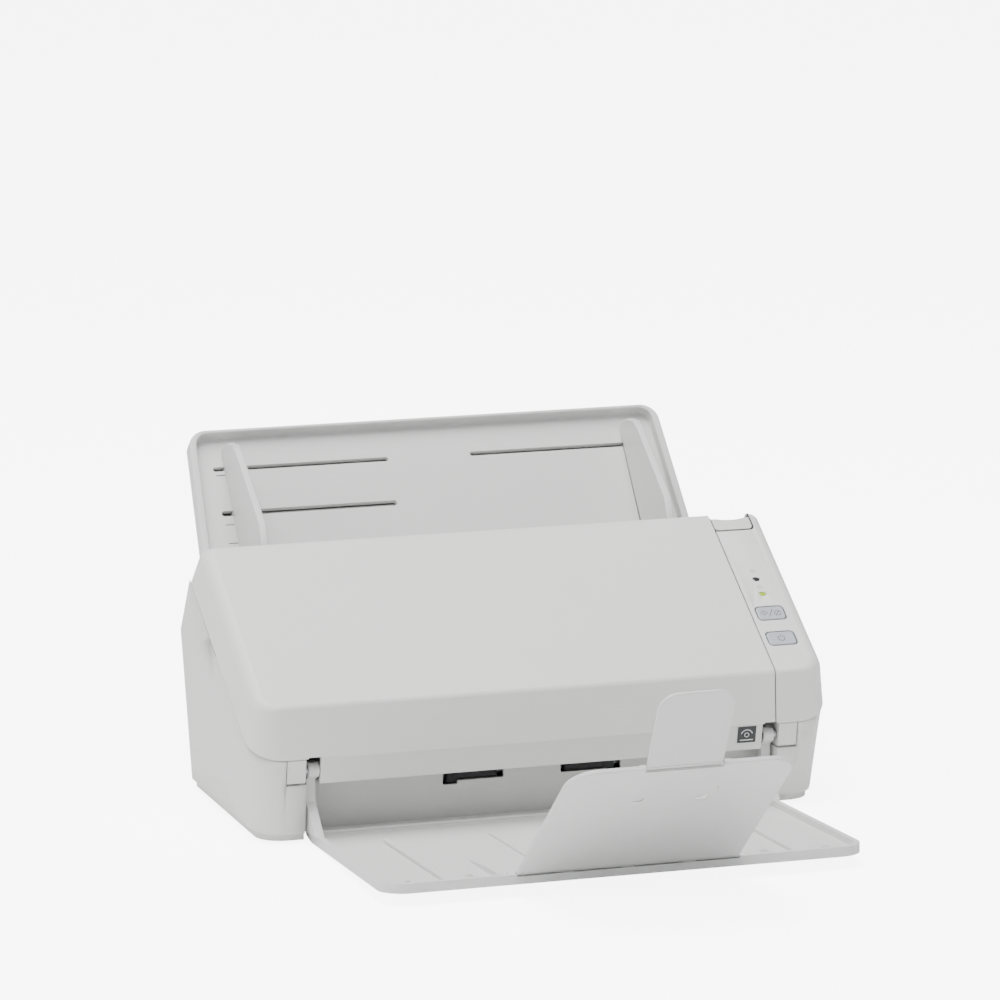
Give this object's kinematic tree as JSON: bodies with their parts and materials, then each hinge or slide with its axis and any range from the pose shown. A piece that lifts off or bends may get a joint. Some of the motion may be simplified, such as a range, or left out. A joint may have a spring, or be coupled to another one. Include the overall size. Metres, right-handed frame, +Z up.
{
  "type": "sheet fed document scanner",
  "caption": "Desktop scanner with sloping lift-up cover, rear paper chute with sliding side guides and a front stacker tray that folds up over the cover.",
  "frame": {"origin": "on the table, under the middle of the whole open machine", "axes": "+X to the machine's right, +Y to the rear where paper is loaded, +Z up"},
  "size_m": [0.298, 0.4378, 0.1699],
  "materials": {
    "shell": "fine satin moulded plastic",
    "inner": "matt moulded plastic",
    "dark": "matt dark plastic",
    "rubber": "matt rubber",
    "button": "satin plastic",
    "steel": "drawn steel",
    "gear": "smooth acetal",
    "board": "green solder mask",
    "glass": "clear",
    "lens": "clear tinted plastic"
  },
  "bodies": {
    "base": {"base_shell": "shell", "bottom_plate": "inner", "rubber_feet": "rubber", "base_screws": "steel", "exit_wall": "shell", "lower_guide": "inner", "left_side_frame": "dark", "right_side_frame": "dark", "lower_sensor": "dark", "lower_glass": "glass", "main_board": "board", "motor_body": "steel", "hinge_pins": "steel", "power_jack": "dark", "usb_socket": "steel", "chute_plate": "shell", "chute_back": "shell", "shaft_bushes": "gear", "latch_keepers": "steel"},
    "cover": {"top_cover": "shell", "panel_cover": "shell", "hinge_lugs": "shell", "upper_guide": "inner", "upper_sensor": "dark", "upper_glass": "glass", "cover_brackets": "dark", "status_lenses": "lens", "strip_label": "shell"},
    "release": {"open_tab": "shell", "latch_bar": "steel"},
    "scan_key": {"scan_button": "button"},
    "power_key": {"power_button": "button"},
    "stacker": {"stacker_tray": "shell", "stacker_arms": "shell", "extension_pin": "steel"},
    "extension": {"extension_plate": "shell", "tip_pin": "steel"},
    "tip": {"tip_plate": "shell"},
    "left_paper_guide": {"left_guide": "shell"},
    "right_paper_guide": {"right_guide": "shell"},
    "pinion": {"guide_pinion": "gear"},
    "chute_slide": {"chute_extension": "shell"},
    "pick": {"pick_shaft": "steel", "pick_roller": "rubber", "pick_gear": "gear"},
    "pick_idler": {"pick_idler_gear": "gear"},
    "brake": {"brake_roller": "rubber"},
    "feed": {"feed_shaft": "steel", "feed_rollers": "rubber", "feed_gear": "gear"},
    "exit": {"exit_shaft": "steel", "exit_rollers": "rubber", "exit_gear": "gear"},
    "exit_idler": {"exit_idler_gear": "gear"},
    "motor": {"motor_pinion": "gear"},
    "cover_feed_rollers": {"feed_idlers": "dark"},
    "cover_exit_rollers": {"exit_idlers": "dark"}
  },
  "joints": [
    {"name": "cover_open", "type": "hinge", "parent": "base", "child": "cover", "pos_m": [0, 0.00963, 0.0364], "axis": [1, 0, 0], "range_deg": [0, 58]},
    {"name": "release_pull", "type": "hinge", "parent": "cover", "child": "release", "pos_m": [0, 0.10355, 0.11478], "axis": [1, 0, 0], "range_deg": [-12, 0], "stiffness_Nm_per_rad": 0.1, "springref_deg": 5.73},
    {"name": "scan_press", "type": "slide", "parent": "cover", "child": "scan_key", "axis": [0, 0.5225, -0.8526], "range_m": [0, 0.0008], "stiffness_N_per_m": 300, "springref_m": -0.0008},
    {"name": "power_press", "type": "slide", "parent": "cover", "child": "power_key", "axis": [0, 0.5225, -0.8526], "range_m": [0, 0.0008], "stiffness_N_per_m": 300, "springref_m": -0.0008},
    {"name": "stacker_fold", "type": "hinge", "parent": "base", "child": "stacker", "pos_m": [0, 0.00963, 0.0364], "axis": [1, 0, 0], "range_deg": [-115, 0]},
    {"name": "extension_fold", "type": "hinge", "parent": "stacker", "child": "extension", "pos_m": [0, -0.11756, 0.0099], "axis": [1, 0, 0], "range_deg": [-143.3, 0]},
    {"name": "tip_fold", "type": "hinge", "parent": "extension", "child": "tip", "pos_m": [0, -0.19878, 0.0774], "axis": [1, 0, 0], "range_deg": [-156.4, 0]},
    {"name": "left_guide_slide", "type": "slide", "parent": "base", "child": "left_paper_guide", "axis": [1, 0, 0], "range_m": [-0.004, 0.076]},
    {"name": "right_guide_slide", "type": "slide", "parent": "base", "child": "right_paper_guide", "axis": [1, 0, 0], "range_m": [-0.076, 0.004]},
    {"name": "guide_pinion_spin", "type": "hinge", "parent": "base", "child": "pinion", "pos_m": [0, 0.17225, 0.12076], "axis": [0, -0.7826, 0.6225], "range_deg": [-546, 30]},
    {"name": "chute_extension_slide", "type": "slide", "parent": "base", "child": "chute_slide", "axis": [0, 0.6225, 0.7826], "range_m": [0, 0.07]},
    {"name": "feed_spin", "type": "hinge", "parent": "base", "child": "feed", "pos_m": [0, 0.08013, 0.0283], "axis": [1, 0, 0], "continuous": true},
    {"name": "exit_spin", "type": "hinge", "parent": "base", "child": "exit", "pos_m": [0, 0.03483, 0.02243], "axis": [1, 0, 0], "continuous": true},
    {"name": "exit_idler_spin", "type": "hinge", "parent": "base", "child": "exit_idler", "pos_m": [0, 0.05596, 0.03382], "axis": [1, 0, 0], "continuous": true},
    {"name": "pick_spin", "type": "hinge", "parent": "base", "child": "pick", "pos_m": [0, 0.10973, 0.037], "axis": [1, 0, 0], "continuous": true},
    {"name": "pick_idler_spin", "type": "hinge", "parent": "base", "child": "pick_idler", "pos_m": [0, 0.09374, 0.03673], "axis": [1, 0, 0], "continuous": true},
    {"name": "motor_spin", "type": "hinge", "parent": "base", "child": "motor", "pos_m": [0, 0.06113, 0.05314], "axis": [1, 0, 0], "continuous": true},
    {"name": "brake_spin", "type": "hinge", "parent": "cover", "child": "brake", "pos_m": [0, 0.10253, 0.0493], "axis": [1, 0, 0], "continuous": true},
    {"name": "cover_feed_spin", "type": "hinge", "parent": "cover", "child": "cover_feed_rollers", "pos_m": [0, 0.07833, 0.0415], "axis": [1, 0, 0], "continuous": true},
    {"name": "cover_exit_spin", "type": "hinge", "parent": "cover", "child": "cover_exit_rollers", "pos_m": [0, 0.03313, 0.0348], "axis": [1, 0, 0], "continuous": true}
  ],
  "couplings": [
    {"joint": "tip_fold", "follows": "extension_fold", "ratio": 1.0908},
    {"joint": "right_guide_slide", "follows": "left_guide_slide", "ratio": -1},
    {"joint": "guide_pinion_spin", "follows": "left_guide_slide", "rad_per_m": -125},
    {"joint": "exit_idler_spin", "follows": "feed_spin", "ratio": -0.63158},
    {"joint": "exit_spin", "follows": "feed_spin", "ratio": 1.0909},
    {"joint": "motor_spin", "follows": "feed_spin", "ratio": 2},
    {"joint": "pick_idler_spin", "follows": "feed_spin", "ratio": -1.5},
    {"joint": "pick_spin", "follows": "feed_spin", "ratio": 1},
    {"joint": "cover_feed_spin", "follows": "feed_spin", "ratio": -1.3636},
    {"joint": "cover_exit_spin", "follows": "feed_spin", "ratio": -1.5273}
  ]
}
